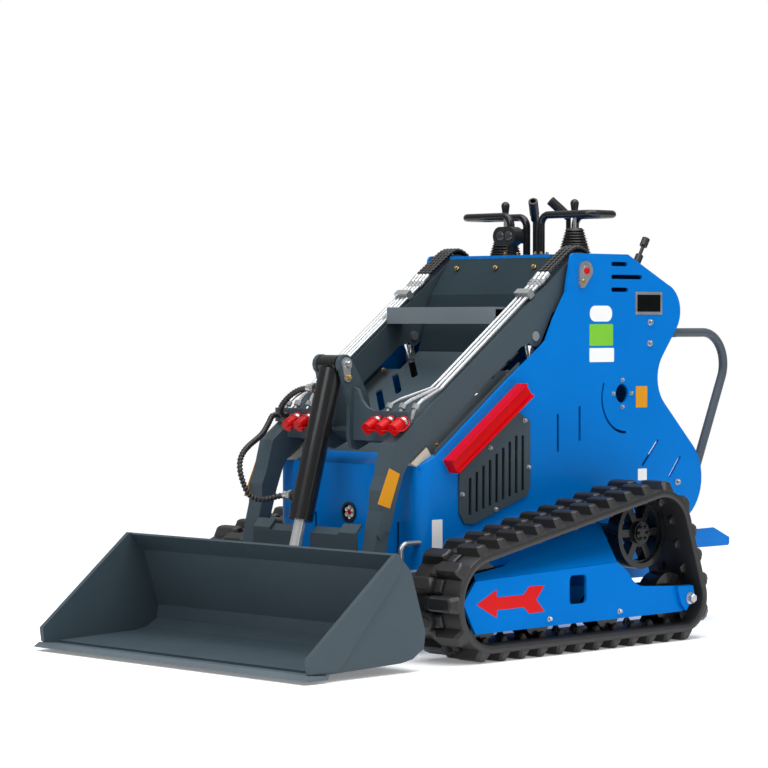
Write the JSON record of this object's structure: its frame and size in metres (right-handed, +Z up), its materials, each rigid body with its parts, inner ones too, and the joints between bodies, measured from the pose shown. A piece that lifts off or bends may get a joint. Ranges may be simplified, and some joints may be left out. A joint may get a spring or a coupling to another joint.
{
  "type": "mini skid steer loader",
  "caption": "Stand-on tracked mini loader with lift arms, front bucket, tilt and lift cylinders, hand controls and a fold-up rear platform.",
  "frame": {"origin": "middle of the footprint of the whole machine, on the ground", "axes": "+X forward to the bucket, +Y to the machine's left, +Z up"},
  "size_m": [1.936, 1.04, 1.195],
  "materials": {
    "blue_paint": "gloss",
    "slate_paint": "satin",
    "black_paint": "satin",
    "red_paint": "satin",
    "rubber": "matte",
    "zinc_steel": "satin",
    "chrome_steel": "polished",
    "black_plastic": "matte",
    "beige_plastic": "matte",
    "cast_mass": "matte"
  },
  "bodies": {
    "chassis": {"side_plate_left": "blue_paint", "side_plate_right": "blue_paint", "belly_frame": "blue_paint", "nose_panel": "blue_paint", "control_deck": "blue_paint", "rear_panel": "blue_paint", "track_frame_left": "blue_paint", "track_frame_right": "blue_paint", "hood_cover": "slate_paint", "dash_panel": "slate_paint", "vent_panels": "slate_paint", "guard_rails": "slate_paint", "drive_sprockets": "black_paint", "front_idlers": "black_paint", "rear_idlers": "black_paint", "track_rollers": "black_paint", "hand_loops": "black_paint", "drive_levers": "black_paint", "arm_lock_strut": "red_paint", "track_left": "rubber", "track_right": "rubber", "tie_down_hooks": "zinc_steel", "data_plate": "zinc_steel", "chassis_pins": "zinc_steel", "wheel_axles": "zinc_steel", "front_lamp": "black_plastic", "work_lamp": "black_plastic", "joysticks": "black_plastic", "throttle_lever": "black_plastic", "arm_rest_pads": "beige_plastic", "engine_block": "cast_mass"},
    "boom": {"arm_left": "slate_paint", "arm_right": "slate_paint", "arm_cross_tube": "slate_paint", "arm_cross_plate": "slate_paint", "arm_pins": "zinc_steel", "steel_lines": "zinc_steel", "line_clamps": "black_paint", "quick_couplers": "red_paint", "arm_hoses": "rubber", "tilt_hoses": "rubber"},
    "tilt_barrel": {"tilt_barrel": "black_paint"},
    "tilt_rod": {"tilt_rod": "chrome_steel"},
    "lift_barrel_left": {"lift_barrel_left": "black_paint"},
    "lift_barrel_right": {"lift_barrel_right": "black_paint"},
    "lift_rod_left": {"lift_rod_left": "chrome_steel"},
    "lift_rod_right": {"lift_rod_right": "chrome_steel"},
    "bucket": {"hitch_plate": "slate_paint", "bucket": "slate_paint", "cutting_edge": "slate_paint"},
    "platform": {"step_platform": "blue_paint"}
  },
  "joints": [
    {"name": "arm_lift", "type": "hinge", "parent": "chassis", "child": "boom", "pos_m": [-0.29, 0, 0.994], "axis": [0, -1, 0], "range_deg": [0, 90]},
    {"name": "bucket_tilt", "type": "hinge", "parent": "boom", "child": "bucket", "pos_m": [0.475, 0, 0.14], "axis": [0, 1, 0], "range_deg": [-20, 70]},
    {"name": "tilt_swing", "type": "hinge", "parent": "boom", "child": "tilt_barrel", "pos_m": [0.389, 0, 0.745], "axis": [0, -1, 0], "range_deg": [-4, 4], "deforming": ["tilt_hoses"]},
    {"name": "tilt_slide", "type": "slide", "parent": "tilt_barrel", "child": "tilt_rod", "axis": [0.2725, 0, -0.9622], "range_m": [-0.05, 0.14]},
    {"name": "lift_swing_left", "type": "hinge", "parent": "chassis", "child": "lift_barrel_left", "pos_m": [-0.229, 0, 0.297], "axis": [0, -1, 0], "range_deg": [-2, 8]},
    {"name": "lift_slide_left", "type": "slide", "parent": "lift_barrel_left", "child": "lift_rod_left", "axis": [0.2177, 0, 0.976], "range_m": [-0.005, 0.36]},
    {"name": "lift_swing_right", "type": "hinge", "parent": "chassis", "child": "lift_barrel_right", "pos_m": [-0.229, 0, 0.297], "axis": [0, -1, 0], "range_deg": [-2, 8]},
    {"name": "lift_slide_right", "type": "slide", "parent": "lift_barrel_right", "child": "lift_rod_right", "axis": [0.2177, 0, 0.976], "range_m": [-0.005, 0.36]},
    {"name": "step_fold", "type": "hinge", "parent": "chassis", "child": "platform", "pos_m": [-0.64, 0, 0.236], "axis": [0, 1, 0], "range_deg": [0, 85]}
  ],
  "couplings": [
    {"joint": "tilt_swing", "follows": "bucket_tilt", "ratio": 0.02724},
    {"joint": "tilt_slide", "follows": "bucket_tilt", "m_per_rad": 0.10689},
    {"joint": "lift_swing_left", "follows": "arm_lift", "ratio": 0.05572},
    {"joint": "lift_slide_left", "follows": "arm_lift", "m_per_rad": 0.22211},
    {"joint": "lift_swing_right", "follows": "arm_lift", "ratio": 0.05572},
    {"joint": "lift_slide_right", "follows": "arm_lift", "m_per_rad": 0.22211}
  ]
}
